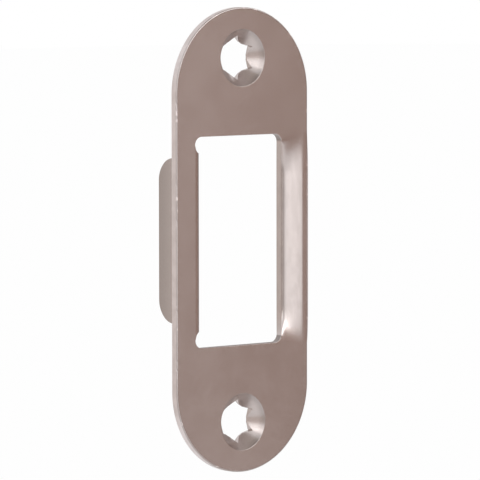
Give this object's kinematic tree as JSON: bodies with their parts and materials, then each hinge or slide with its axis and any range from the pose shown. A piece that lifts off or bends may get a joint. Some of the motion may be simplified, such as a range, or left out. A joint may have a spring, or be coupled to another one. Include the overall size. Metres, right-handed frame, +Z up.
{
  "type": "door strike plate",
  "caption": "Round-ended latch strike plate in satin metal, with a folded stop tab, a pressed lead-in ramp and two dimpled screw seats.",
  "frame": {"origin": "midway between the throats of the two screw seats, 1 mm behind the plate's back face", "axes": "+Z up the plate, along its length; +Y back into the door frame, the way the tab points; +X towards the side with the ramp, from which the latch slides in"},
  "size_m": [0.0252, 0.0089, 0.0684],
  "materials": {
    "satin_plate": "satin"
  },
  "bodies": {
    "root": {"strike_plate": "satin_plate"}
  },
  "joints": []
}
